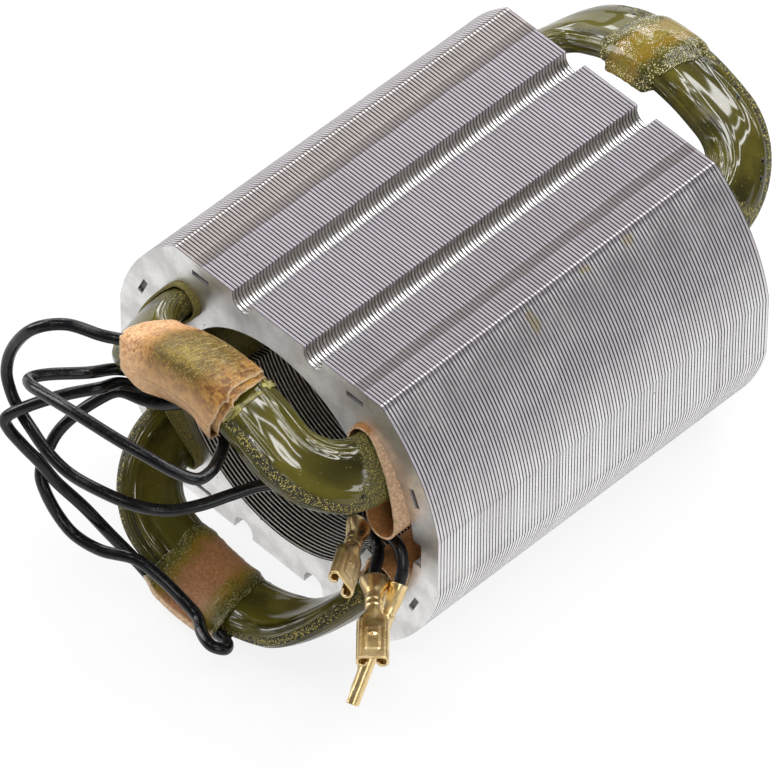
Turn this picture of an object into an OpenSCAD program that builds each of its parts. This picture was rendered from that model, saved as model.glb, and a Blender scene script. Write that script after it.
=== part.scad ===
// Stator of a small angle grinder: a stack of sheet steel laminations with two field coils,
// their paper insulation, and four leads with push-on terminals. All sizes are in millimetres.
// X runs across the stack, Y along the bore from the lead end to the far end, and Z is up.
// The origin is the middle of the armature bore.

/* [Laminated stack] */
// Thickness of one lamination
lam_t = 0.5; // [0.35:0.05:0.65]
// Number of laminations
lam_count = 110; // [80:1:140]
// Depth of the line where the rounded edges of two laminations meet
seam_depth = 0.12; // [0.05:0.01:0.2]
// Width of that line at the surface
seam_w = 0.14; // [0.05:0.01:0.2]
// Diameter of the round sides
outer_d = 54.9; // [53:0.1:60]
// Width across the small flats at the two sides
side_w = 54; // [52:0.1:54.6]
// Height across the top and bottom flats
flat_h = 42.3; // [41.5:0.1:48]
// Diameter of the armature bore
bore_d = 32.6; // [30:0.1:33.4]
// Thickness of the pole horns that hold the coil sides
horn_t = 1.7; // [1.2:0.1:2]
// Angle of the horn tips above and below the middle
horn_tip_a = 22; // [18:0.5:30]

/* [Coil slots] */
// Radial width of a slot
slot_w = 5; // [4:0.1:5.6]
// Angle of the centre of a slot's round end, above and below the middle
slot_end_a = 41.5; // [36:0.5:45]
// Height of the shallow recess in the back of a slot
recess_h = 4; // [2:0.1:6]
// Depth of that recess
recess_depth = 1.2; // [0.5:0.1:1.8]

/* [Screw grooves and interlocks] */
// Distance between the two screw grooves of a flat
groove_pitch = 12; // [8:0.1:18]
// Width of a screw groove
groove_w = 3.1; // [2:0.1:4]
// Depth of a screw groove
groove_depth = 2.35; // [1.6:0.05:2.8]
// Length of an interlock mark
mark_l = 2.8; // [2:0.1:3.5]
// Width of an interlock mark
mark_w = 0.8; // [0.5:0.1:1.2]
// How far a mark is pressed in at the front and stands out at the back
mark_depth = 0.3; // [0.1:0.05:0.45]
// Distance between the two marks of a flat
flat_mark_pitch = 26; // [22:0.5:29]
// Distance of these marks from the surface of the flat
flat_mark_inset = 2.1; // [1.5:0.1:2.6]
// How far the marks of the round sides lie inwards of the middle of the wall behind a slot
side_mark_inset = 0.325; // [0:0.025:0.5]
// Angle of these marks above and below the middle
side_mark_a = 22.5; // [15:0.5:30]

/* [Slot liners] */
// Thickness of the liner paper
liner_t = 0.3; // [0.2:0.05:0.4]
// Gap between the liner and the slot
liner_gap = 0.05; // [0.02:0.01:0.1]
// Angle of the centre of a liner's lower round end
liner_low_a = 14; // [12:0.5:18]
// How far a liner stands out of the stack at its lower end
liner_out_low = 3.2; // [2:0.1:4.5]
// How far it stands out at its upper end, beside the pole
liner_out_top = 0.7; // [0.3:0.1:0.8]

/* [Field coils] */
// Width of the wire bundle
coil_w = 9; // [7:0.1:9.6]
// Gap between a coil side and its liner
coil_gap = 0.05; // [0.05:0.01:0.2]
// Thickness of the bundle in the middle of an end turn
end_t = 3.8; // [3:0.1:4]
// How far the end turns sink from the slot circle towards the bore
end_drop = 1.85; // [1:0.05:1.9]
// Distance of the middle of an end turn from the stack
end_reach = 9.5; // [8:0.1:12]
// Straight length of a coil side outside the stack
root_len = 0.8; // [0.8:0.1:1.5]
// How far the upper end turn leans to the right at the lead end
upper_front_lean = 0; // [-1:0.1:1]
// How far the lower end turn leans there
lower_front_lean = 0.9; // [-1:0.1:1]
// How far the upper end turn leans at the far end
upper_rear_lean = -1; // [-1:0.1:1]
// How far the lower end turn leans there
lower_rear_lean = 0; // [-1:0.1:1]

/* [Coil wraps] */
// Thickness of the wrap paper
wrap_t = 0.3; // [0.2:0.05:0.4]
// Gap between the wrap and the bundle
wrap_gap = 0.08; // [0.04:0.01:0.15]
// Length of the upper front wrap along the bundle
upper_wrap_l = 17; // [12:0.5:20]
// Place of its middle, from the top of the end turn
upper_wrap_at = -4.8; // [-6:0.1:-2]
// Length of the lower front wrap along the bundle
lower_wrap_l = 14; // [12:0.5:18]
// Place of its middle
lower_wrap_at = -2.7; // [-4:0.1:2]
// Length of the two wraps at the far end
rear_wrap_l = 10; // [6:0.5:14]
// Place of their middles
rear_wrap_at = -1; // [-4:0.1:4]
// How far the edges of a wrap slant along the bundle
wrap_slant = 1.6; // [0:0.1:2]

/* [Leads and splices] */
// Diameter of a lead over its insulation
lead_d = 1.5; // [1.2:0.1:1.6]
// Gap round a lead in its terminal, its splice seat and its wrap
lead_gap = 0.1; // [0.05:0.01:0.15]
// Diameter of a crimped splice
splice_d = 1.6; // [1.2:0.05:1.65]
// Length of a crimped splice
splice_l = 3.2; // [2:0.1:4]

/* [Terminals] */
// Overall length of a terminal
terminal_l = 15.2; // [14:0.1:18]
// Width of the receptacle
terminal_w = 3.9; // [3.2:0.1:5]
// Length of the receptacle
receptacle_l = 7.2; // [5:0.1:7.6]
// Outside radius of its rolled edges
roll_r = 0.75; // [0.65:0.05:0.9]
// Thickness of the brass sheet
brass_t = 0.3; // [0.2:0.05:0.35]
// Height of the gap that takes the tab
tab_gap = 0.55; // [0.4:0.05:0.6]
// Length of the crimp on the insulation
ins_crimp_l = 3.4; // [3:0.1:4]
// Width of that crimp at its flared end
flare_w = 3.3; // [2.8:0.1:3.6]
// Diameter of the crimp on the bare wire
wire_crimp_d = 2; // [1.6:0.1:2.2]
// Length of the crimp on the bare wire
wire_crimp_l = 3.2; // [2.4:0.1:3.4]
// Width of the two ribs on that crimp
rib_w = 0.45; // [0.2:0.05:0.6]
// Height of these ribs
rib_h = 0.12; // [0.05:0.01:0.2]
// Width of the raised window on the receptacle
window_w = 1.7; // [1:0.1:1.8]
// Length of that window
window_l = 4.4; // [3:0.1:4.6]
// How far the window stands out
window_h = 0.12; // [0.05:0.01:0.2]
// Width of the dimple on the window
dimple_w = 0.9; // [0.6:0.1:1]
// Radius of the dimple
dimple_r = 0.45; // [0.3:0.05:0.6]

/* [Hidden] */
$fn = 96;
// Sides of the skins that are swept along the coils, and of the leads
BUNDLE_SIDES = 24;
LEAD_SIDES = 8;
// Steps along half of an end turn, along a wrap, and between two points of a lead
END_STEPS = 14;
WRAP_STEPS = 10;
LEAD_STEPS = 3;
// A direction that no lead starts along, from which its rings are turned
RING_SIDE = [0.2, 0.3, 1];
// How square the section of a bundle is: 2 is an ellipse, more is squarer
SQUARENESS = 3;
DUAL = SQUARENESS / (SQUARENESS - 1);
// How soon an end turn is fully sunk: at 1 only in its middle, at more before it
SINK_RATE = 1.6;
// Room for the flats of a bundle inside its curved liner
FLAT_ROOM = 0.1;
// How far a coil side fills the round end of its slot
END_FILL = 0.78;
// How much narrower the round ends of a slot are than the slot
CAP_STEP = 0.02;
// Overlap that keeps a cut from ending flush with a face
CUT = 1;

stack_l = lam_t * lam_count;
bore_r = bore_d / 2;
slot_r = bore_r + horn_t + slot_w / 2;
liner_half = slot_w / 2 - liner_gap;
coil_half_t = liner_half - liner_t - coil_gap - FLAT_ROOM;

// A coil is laid out on the unrolled slot circle, with lengths along the circle and along Y.
coil_top_a = slot_end_a + END_FILL * coil_half_t / slot_r * 180 / PI;
coil_side = (90 - coil_top_a) * PI / 180 * slot_r + coil_w / 2;
coil_end = stack_l / 2 + end_reach;
corner_r = end_reach - root_len;
end_run = coil_side - corner_r;
end_half_l = end_run + corner_r * PI / 2;

// Where a lead and its splice lie on a bundle: outwards along its width, then off the bore.
upper_start_seat = [coil_w / 4 + 0.15, end_t / 2 + lead_d / 2 + lead_gap];
upper_end_seat = [coil_w / 4 + 0.25, -end_t / 2 - lead_d / 2 - lead_gap];
lower_seat = [coil_w / 2 + lead_d / 2 + lead_gap, 0];
// Ends of the splices along the bundle, at the lead
upper_start_splice_at = -8.2;
upper_end_splice_at = -0.4;
lower_start_splice_at = -6.3;
lower_end_splice_at = 1.1;

// Points that each lead passes through, from its splice to its terminal
upper_start_route = [
    [-8.6, -39.4, 19.6], [-10.4, -39.4, 18.73], [-12.1, -39.38, 17.85], [-13.4, -39.3, 17.08],
    [-15.9, -40.7, 17], [-19.5, -43, 17.8], [-22.5, -45.5, 16.5], [-25, -46.5, 12], [-25.5, -47.2, 8],
    [-24.3, -47.6, 5.2], [-22.5, -47.9, 3.7], [-20, -48.3, 2.7], [-16.8, -49, 2.2], [-13, -49, 1.4],
    [-8.3, -48.5, 1.8], [-4, -47, 1.6], [-1, -44.5, 1.1], [1.3, -41.5, 1.5],
    [3.2, -38, 2.2], [5, -34.5, 2.6], [8, -31.5, 2.4], [12, -29.6, 1.5], [15.4, -28.6, 0.3],
    [17.6, -28.6, -0.9], [19.4, -29.8, -1.3], [20.8, -31.6, -1.4], [22.2, -33.2, -1.1], [23.9, -34.9, -0.6]];
upper_end_route = [
    [0, -39.5, 15.9], [3.3, -39.5, 15.5], [4.7, -40.6, 14.9], [5.9, -42.6, 14.6], [6.8, -44.8, 14.8],
    [6.6, -46.8, 15], [4.5, -48.3, 15.8], [1.5, -49.4, 16.6], [-3, -50.4, 17],
    [-9.3, -51, 16.8], [-14.5, -51, 15.8], [-17.6, -50.5, 14.6], [-19.3, -49, 13.2],
    [-18.2, -47, 13.2], [-15.4, -43.5, 13], [-15.3, -39.6, 10.6], [-15.3, -36.6, 8],
    [-12.8, -33.5, 7.6], [-8, -31, 8.6], [-2, -30, 9.5], [4, -29.8, 9],
    [8.5, -29.4, 6.8], [11.5, -29.2, 5.6], [14.1, -29.4, 4.1], [15.9, -29.9, 3.1],
    [17.6, -31.3, 3.2], [18.9, -33, 4.1]];
lower_start_route = [
    [-5, -42.4, -18], [-8.4, -42.4, -16.6], [-11.7, -44, -12.6], [-14.4, -45.5, -8.8],
    [-17.4, -47, -5.6], [-19.1, -48, -2.7], [-20.8, -49, -0.3], [-22.5, -49.9, 2.3],
    [-22.7, -49.9, 4.2], [-20.5, -48, 6.6], [-17.5, -45, 8.6], [-15, -42, 9.4],
    [-14.7, -39.2, 8.3], [-13.6, -36.6, 6.3], [-11, -33.4, 5.4], [-6, -31, 6],
    [0, -30.2, 6.6], [6, -29.6, 5], [11, -28.9, 3.6], [15, -28.6, 2.2],
    [18.6, -28.4, 1], [21.4, -28.6, 0.9], [23.4, -29.7, -0.1], [24.4, -31.2, -1.4], [25, -33, -2.9]];
lower_end_route = [
    [2.1, -42.4, -18.5], [5, -42.4, -17.9], [7.4, -43, -17.2], [8.4, -44.3, -16.4],
    [7.2, -45.4, -15.8], [5, -44.8, -15.9], [2.7, -43.4, -16], [0, -43.4, -15],
    [-3, -44.2, -12.8], [-6, -45.2, -11.4], [-10, -46.8, -12], [-13.8, -47.5, -11.9],
    [-16.4, -47.8, -10.2], [-18.4, -48, -7.3], [-19.7, -47.5, -5.2], [-20.1, -45.8, -2.8],
    [-20, -44.3, -0.8], [-19.2, -42.5, 1.2], [-18, -40.2, 3], [-16.2, -38, 4.6],
    [-13.6, -36.6, 4.2], [-11, -35.8, 4.8], [-8, -34.9, 6.8], [-5.5, -34.4, 8.2],
    [-3.4, -34.2, 8.6], [-1, -34.2, 8.6]];

// How far each terminal is turned about its own length
upper_start_roll = 0;
upper_end_roll = -50;
lower_start_roll = 75;
lower_end_roll = 0;

// Shapes in the plane of a lamination

module sector(a0, a1) {
    mid = (a0 + a1) / 2;
    polygon([[0, 0], for (a = [a0, mid, a1]) outer_d * [cos(a), sin(a)]]);
}

// A slot bent along a circle, with round ends a hair narrower than the slot, so that no two arcs only touch
module arc_slot(half, a0, a1) {
    intersection() {
        difference() {
            circle(r = slot_r + half);
            circle(r = slot_r - half);
        }
        sector(a0, a1);
    }
    for (a = [a0, a1]) rotate(a) translate([slot_r, 0]) circle(r = half - CAP_STEP);
}

module outline(inset) {
    intersection() {
        circle(d = outer_d - 2 * inset);
        square([side_w - 2 * inset, flat_h - 2 * inset], center = true);
    }
}

module coil_slot() {
    arc_slot(slot_w / 2, -slot_end_a, slot_end_a);
    intersection() {
        circle(r = slot_r);
        sector(-horn_tip_a, horn_tip_a);
    }
    translate([slot_r, -recess_h / 2]) square([slot_w / 2 + recess_depth, recess_h]);
}

module screw_groove() {
    bottom = flat_h / 2 - groove_depth + groove_w / 2;
    translate([0, bottom]) circle(d = groove_w);
    translate([-groove_w / 2, bottom]) square([groove_w, groove_depth]);
}

module lamination() {
    difference() {
        outline(0);
        circle(d = bore_d);
        for (a = [0, 180]) rotate(a) coil_slot();
        for (a = [0, 180], x = [-1, 1])
            rotate(a) translate([x * groove_pitch / 2, 0]) screw_groove();
    }
}

// Places its children at the eight interlock marks, along a mark's length
module at_marks() {
    for (x = [-1, 1], z = [-1, 1])
        translate([x * flat_mark_pitch / 2, z * (flat_h / 2 - flat_mark_inset)]) children();
    wall_r = (slot_r + slot_w / 2 + outer_d / 2) / 2;
    for (a = [0, 180], s = [-1, 1])
        rotate(a + s * side_mark_a) translate([wall_r - side_mark_inset, 0]) rotate(90) children();
}

module marks() {
    at_marks() square([mark_l, mark_w], center = true);
}

module along_bore(length) {
    rotate([90, 0, 0]) linear_extrude(length, center = true) children();
}

// Paths on the unrolled slot circle

function ease(x) = let (c = min(1, max(0, x))) c * c * (3 - 2 * c);

// Centre line of a front end turn by its length from the top: place along the circle and along Y,
// the direction out of the loop in both, and how far the bundle has left its slot.
function end_turn(t, lean) =
    let (side = t < 0 ? -1 : 1, past = abs(t) - end_run)
    let (turn = max(0, past) / corner_r * 180 / PI, out = ease(SINK_RATE * (1 - abs(t) / end_half_l)))
    past < 0 ? [t + lean * out, -coil_end, 0, -1, out]
    : [side * (end_run + corner_r * sin(turn)) + lean * out, -coil_end + corner_r * (1 - cos(turn)),
       side * sin(turn), -cos(turn), out];

function to_rear(f) = [f[0], -f[1], f[2], -f[3], f[4]];

// The point of a bundle that lies a outwards along its width and b off the bore
function bundle_point(f, a, b) =
    let (angle = (f[0] + a * f[2]) / slot_r * 180 / PI, r = slot_r - end_drop * f[4] + b)
    [r * sin(angle), f[1] + a * f[3], r * cos(angle)];

function half_t(f) = coil_half_t + (end_t / 2 - coil_half_t) * f[4];

// Reach of a bundle section, with what is seated on it, in the direction d
function reach(d, half, seats, seat_r) = max(
    pow(pow(abs(coil_w / 2 * cos(d)), DUAL) + pow(abs(half * sin(d)), DUAL), 1 / DUAL),
    max([for (s = seats) s[0] * cos(d) + s[1] * sin(d) + seat_r, 0]));

// Outline round a bundle section and its seats, off by a gap all round
function section(half, seats, seat_r, off) =
    let (step = 360 / BUNDLE_SIDES)
    [for (i = [0 : BUNDLE_SIDES - 1])
        let (p = i * step, q = p + step)
        let (hp = reach(p, half, seats, seat_r) + off, hq = reach(q, half, seats, seat_r) + off)
        [(hp * sin(q) - hq * sin(p)) / sin(step), (hq * cos(p) - hp * cos(q)) / sin(step)]];

// One closed skin through rings of points. The last ring joins the first if it is a loop.
module skin(rings, loop) {
    n = len(rings);
    m = len(rings[0]);
    body = [for (i = [0 : n - (loop ? 1 : 2)], j = [0 : m - 1])
        let (k = (i + 1) % n, l = (j + 1) % m)
        each [[i * m + j, k * m + l, i * m + l], [i * m + j, k * m + j, k * m + l]]];
    ends = loop ? [] : [[for (j = [0 : m - 1]) j], [for (j = [m - 1 : -1 : 0]) (n - 1) * m + j]];
    polyhedron([for (r = rings) each r], concat(body, ends), convexity = 8);
}

// Leads

function spline_point(p, i, u) =
    let (a = p[max(0, i - 1)], b = p[i], c = p[i + 1], d = p[min(len(p) - 1, i + 2)])
    b + ((c - a) * u + (2 * a - 5 * b + 4 * c - d) * u * u + (3 * b - a - 3 * c + d) * u * u * u) / 2;

function spline(p) = concat(
    [for (i = [0 : len(p) - 2], k = [0 : LEAD_STEPS - 1]) spline_point(p, i, k / LEAD_STEPS)],
    [p[len(p) - 1]]);

function unit(v) = v / norm(v);
function upright(v, t) = unit(v - (v * t) * t);

module lead(route) {
    line = spline(route);
    n = len(line);
    ways = [for (i = [0 : n - 1]) unit(line[min(n - 1, i + 1)] - line[max(0, i - 1)])];
    sides = [for (i = 0, v = upright(RING_SIDE, ways[0]); i < n;
        v = upright(v, ways[min(n - 1, i + 1)]), i = i + 1) v];
    rings = [for (i = [0 : n - 1])
        let (u = sides[i], w = cross(ways[i], u))
        [for (j = [0 : LEAD_SIDES - 1])
            let (a = j * 360 / LEAD_SIDES)
            line[i] + lead_d / 2 * (cos(a) * u + sin(a) * w)]];
    color([0.05, 0.05, 0.05]) skin(rings, false);
}

module splice(seat, t, way, lean) {
    from = bundle_point(end_turn(t, lean), seat[0], seat[1]);
    to = bundle_point(end_turn(t + way * splice_l, lean), seat[0], seat[1]);
    d = unit(to - from);
    color([0.72, 0.55, 0.25])
        translate(from) rotate([0, acos(d[2]), atan2(d[1], d[0])]) cylinder(h = splice_l, d = splice_d);
}

// A push-on receptacle along +Y, crimped to a lead that comes in at its origin
module receptacle() {
    crimp_half = lead_d / 2 + lead_gap + brass_t;
    box_y = terminal_l - receptacle_l;
    wire_y = ins_crimp_l - brass_t;
    neck_y = wire_y + wire_crimp_l;
    plate_z = roll_r - brass_t;
    roll_x = terminal_w / 2 - roll_r;
    window_y = terminal_l - receptacle_l / 2 - window_l / 2;
    difference() {
        intersection() {
            rotate([-90, 0, 0]) cylinder(h = ins_crimp_l, r1 = flare_w / 2, r2 = crimp_half);
            translate([-flare_w, 0, -crimp_half]) cube([2 * flare_w, ins_crimp_l, 2 * crimp_half]);
        }
        translate([0, -CUT, 0]) rotate([-90, 0, 0]) cylinder(h = wire_y + CUT, d = lead_d + 2 * lead_gap);
    }
    translate([0, wire_y, 0]) rotate([-90, 0, 0]) cylinder(h = wire_crimp_l + brass_t, d = wire_crimp_d);
    for (k = [1, 2]) translate([0, ins_crimp_l + k * wire_crimp_l / 3 - rib_w / 2, 0])
        rotate([-90, 0, 0]) cylinder(h = rib_w, d = wire_crimp_d + 2 * rib_h);
    translate([0, 0, plate_z]) linear_extrude(brass_t) polygon([
        [-wire_crimp_d / 2, neck_y], [wire_crimp_d / 2, neck_y], [roll_x, box_y],
        [roll_x, terminal_l], [-roll_x, terminal_l], [-roll_x, box_y]]);
    for (side = [-1, 1]) translate([side * roll_x, box_y, 0]) difference() {
        rotate([-90, 0, 0]) cylinder(h = receptacle_l, r = roll_r);
        translate([0, -CUT, 0])
            rotate([-90, 0, 0]) cylinder(h = receptacle_l + 2 * CUT, r = roll_r - brass_t);
        translate([side < 0 ? 0 : -roll_r, -CUT, plate_z - tab_gap])
            cube([roll_r, receptacle_l + 2 * CUT, tab_gap]);
    }
    translate([-window_w / 2, window_y, plate_z]) cube([window_w, window_l, brass_t + window_h]);
    translate([-dimple_w / 2, window_y + window_l / 3, plate_z + brass_t + window_h - dimple_r / 2])
        rotate([0, 90, 0]) cylinder(h = dimple_w, r = dimple_r);
}

// The lead's last two points lie in the crimp, and the terminal follows their direction.
module terminal(route, roll) {
    from = route[len(route) - 2];
    d = unit(route[len(route) - 1] - from);
    color([0.85, 0.68, 0.3])
        translate(from) rotate([asin(d[2]), 0, atan2(-d[0], d[1])]) rotate([0, roll, 0]) receptacle();
}

// Core and coils

module seams() {
    for (i = [1 : lam_count - 1])
        translate([0, i * lam_t - stack_l / 2, 0]) along_bore(seam_w) difference() {
            square(2 * outer_d, center = true);
            outline(seam_depth);
        }
}

module lamination_stack() {
    color([0.68, 0.67, 0.68]) difference() {
        union() {
            along_bore(stack_l) lamination();
            translate([0, stack_l / 2, 0]) along_bore(2 * mark_depth) marks();
        }
        translate([0, -stack_l / 2, 0]) along_bore(2 * mark_depth) marks();
        seams();
    }
}

module coil(front_lean, rear_lean) {
    ts = [for (i = [-END_STEPS : END_STEPS]) i / END_STEPS * end_half_l];
    loop = [for (t = ts) end_turn(t, front_lean),
        for (i = [len(ts) - 1 : -1 : 0]) to_rear(end_turn(ts[i], rear_lean))];
    color([0.33, 0.33, 0.13]) skin([for (f = loop)
        [for (p = section(half_t(f), [], 0, 0)) bundle_point(f, p[0], p[1])]], true);
}

module wrap(middle, length, lean, seats) {
    seat_r = max(lead_d, splice_d) / 2 + lead_gap;
    function slanted(t, p) = end_turn(t + wrap_slant * p[0] / coil_w, lean);
    function rings(off, steps) = [for (k = steps)
        let (t = middle + length * (k / WRAP_STEPS - 0.5))
        [for (p = section(half_t(end_turn(t, lean)), seats, seat_r, off))
            bundle_point(slanted(t, p), p[0], p[1])]];
    skin(concat(rings(wrap_gap + wrap_t, [0 : WRAP_STEPS]), rings(wrap_gap, [WRAP_STEPS : -1 : 0])), true);
}

// The liner of the right upper slot: a closed sleeve whose ends slant back towards the pole
module liner() {
    top_z = slot_r * sin(slot_end_a) + liner_half;
    low = stack_l / 2 + liner_out_low;
    top = stack_l / 2 + liner_out_top;
    color([0.68, 0.5, 0.33]) intersection() {
        along_bore(stack_l + 2 * liner_out_low) difference() {
            arc_slot(liner_half, liner_low_a, slot_end_a);
            arc_slot(liner_half - liner_t, liner_low_a, slot_end_a);
        }
        rotate([90, 0, 90]) linear_extrude(outer_d)
            polygon([[-low, 0], [low, 0], [top, top_z], [-top, top_z]]);
    }
}

module right_upper_liner() { liner(); }
module right_lower_liner() { mirror([0, 0, 1]) liner(); }
module left_upper_liner() { mirror([1, 0, 0]) liner(); }
module left_lower_liner() { mirror([1, 0, 0]) mirror([0, 0, 1]) liner(); }

module upper_coil() { coil(upper_front_lean, upper_rear_lean); }
module lower_coil() { mirror([0, 0, 1]) coil(lower_front_lean, lower_rear_lean); }

module upper_front_wrap() {
    color([0.7, 0.5, 0.3]) 
        wrap(upper_wrap_at, upper_wrap_l, upper_front_lean, [upper_start_seat, upper_end_seat]);
}
module lower_front_wrap() {
    color([0.7, 0.5, 0.3]) mirror([0, 0, 1])
        wrap(lower_wrap_at, lower_wrap_l, lower_front_lean, [lower_seat]);
}
module upper_rear_wrap() {
    color([0.72, 0.62, 0.3]) mirror([0, 1, 0])
        wrap(rear_wrap_at, rear_wrap_l, upper_rear_lean, []);
}
module lower_rear_wrap() {
    color([0.72, 0.62, 0.3]) mirror([0, 1, 0]) mirror([0, 0, 1])
        wrap(rear_wrap_at, rear_wrap_l, lower_rear_lean, []);
}

module upper_start_splice() { splice(upper_start_seat, upper_start_splice_at, 1, upper_front_lean); }
module upper_end_splice() { splice(upper_end_seat, upper_end_splice_at, -1, upper_front_lean); }
module lower_start_splice() {
    mirror([0, 0, 1]) splice(lower_seat, lower_start_splice_at, 1, lower_front_lean);
}
module lower_end_splice() {
    mirror([0, 0, 1]) splice(lower_seat, lower_end_splice_at, -1, lower_front_lean);
}

module upper_start_lead() { lead(upper_start_route); }
module upper_end_lead() { lead(upper_end_route); }
module lower_start_lead() { lead(lower_start_route); }
module lower_end_lead() { lead(lower_end_route); }

module upper_start_terminal() { terminal(upper_start_route, upper_start_roll); }
module upper_end_terminal() { terminal(upper_end_route, upper_end_roll); }
module lower_start_terminal() { terminal(lower_start_route, lower_start_roll); }
module lower_end_terminal() { terminal(lower_end_route, lower_end_roll); }

lamination_stack();
upper_coil();
lower_coil();
right_upper_liner();
right_lower_liner();
left_upper_liner();
left_lower_liner();
upper_front_wrap();
lower_front_wrap();
upper_rear_wrap();
lower_rear_wrap();
upper_start_splice();
upper_end_splice();
lower_start_splice();
lower_end_splice();
upper_start_lead();
upper_end_lead();
lower_start_lead();
lower_end_lead();
upper_start_terminal();
upper_end_terminal();
lower_start_terminal();
lower_end_terminal();
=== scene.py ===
# %% [markdown]
# # The stator of an angle grinder
# A stator is the part of a motor that stands still. This one is a stack of punched steel sheets with a
# bore for the armature, two coils of varnished wire pressed into its slots, paper that keeps wire and
# steel apart, and four black leads with brass terminals. The solids come from model.glb. This script
# gives them their surfaces, and replaces those whose real surface is richer than a plain solid.

import math
from types import SimpleNamespace

import bpy
import numpy as np
from mathutils import Matrix, Vector, noise


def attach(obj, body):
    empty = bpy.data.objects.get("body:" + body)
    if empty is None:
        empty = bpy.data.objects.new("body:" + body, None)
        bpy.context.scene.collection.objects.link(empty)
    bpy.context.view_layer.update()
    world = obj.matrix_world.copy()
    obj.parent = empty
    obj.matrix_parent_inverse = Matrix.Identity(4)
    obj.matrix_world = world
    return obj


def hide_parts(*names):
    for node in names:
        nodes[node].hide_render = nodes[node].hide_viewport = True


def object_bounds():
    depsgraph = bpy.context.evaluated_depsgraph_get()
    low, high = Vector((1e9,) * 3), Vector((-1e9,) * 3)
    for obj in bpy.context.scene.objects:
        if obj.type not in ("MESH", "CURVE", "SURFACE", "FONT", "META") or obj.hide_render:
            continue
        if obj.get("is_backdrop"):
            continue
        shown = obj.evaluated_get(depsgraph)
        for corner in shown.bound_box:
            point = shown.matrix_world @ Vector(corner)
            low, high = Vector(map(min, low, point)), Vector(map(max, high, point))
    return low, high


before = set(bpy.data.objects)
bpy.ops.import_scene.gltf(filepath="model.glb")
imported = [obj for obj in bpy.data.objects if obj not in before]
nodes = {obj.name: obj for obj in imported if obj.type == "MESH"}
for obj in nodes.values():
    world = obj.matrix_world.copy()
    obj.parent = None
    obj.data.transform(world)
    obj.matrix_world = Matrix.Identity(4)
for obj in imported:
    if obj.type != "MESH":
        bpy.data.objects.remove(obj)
cad_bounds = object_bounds()
print(len(nodes), "solids, box", [[round(v, 4) for v in corner] for corner in cad_bounds])

# %% [markdown]
# ## The camera
# The photograph was taken from far away with a long lens, so lines that run into depth hardly draw
# together. Azimuth, elevation and roll were fitted to the corners of the stack. The camera's three
# axes follow from them, and its place is a distance back along the third.

# %% Camera
AZIMUTH = math.radians(45.498)
ELEVATION = math.radians(48.973)
ROLL = math.radians(0.364)
DISTANCE = 1.283937
ASIDE, ABOVE = -0.006697, -0.007247
FOCAL_PX, IMAGE_PX = 10778.2, 776


def add_object(data):
    """Puts data into the scene under its own name."""
    obj = bpy.data.objects.new(data.name, data)
    bpy.context.collection.objects.link(obj)
    return obj


back = Vector((math.sin(AZIMUTH) * math.cos(ELEVATION), -math.cos(AZIMUTH) * math.cos(ELEVATION),
               math.sin(ELEVATION)))
level = Vector((math.cos(AZIMUTH), math.sin(AZIMUTH), 0))
upright = back.cross(level)
right = level * math.cos(ROLL) + upright * math.sin(ROLL)
above = upright * math.cos(ROLL) - level * math.sin(ROLL)

camera_data = bpy.data.cameras.new("camera")
camera_data.lens = FOCAL_PX / IMAGE_PX * camera_data.sensor_width
camera = add_object(camera_data)
camera.matrix_world = Matrix((right, above, back)).transposed().to_4x4()
camera.location = back * DISTANCE + right * ASIDE + above * ABOVE
bpy.context.scene.camera = camera
print("lens", round(camera_data.lens), "mm")

# %% [markdown]
# ## The leads
# Each coil begins and ends in a stranded wire with smooth black insulation. A lead is a curve through
# the same points as the solid it replaces, drawn out into a round tube. Between two points the curve
# is a cubic whose slope at each point runs parallel to the line between its neighbours, which is how a
# springy wire bends.

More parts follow.
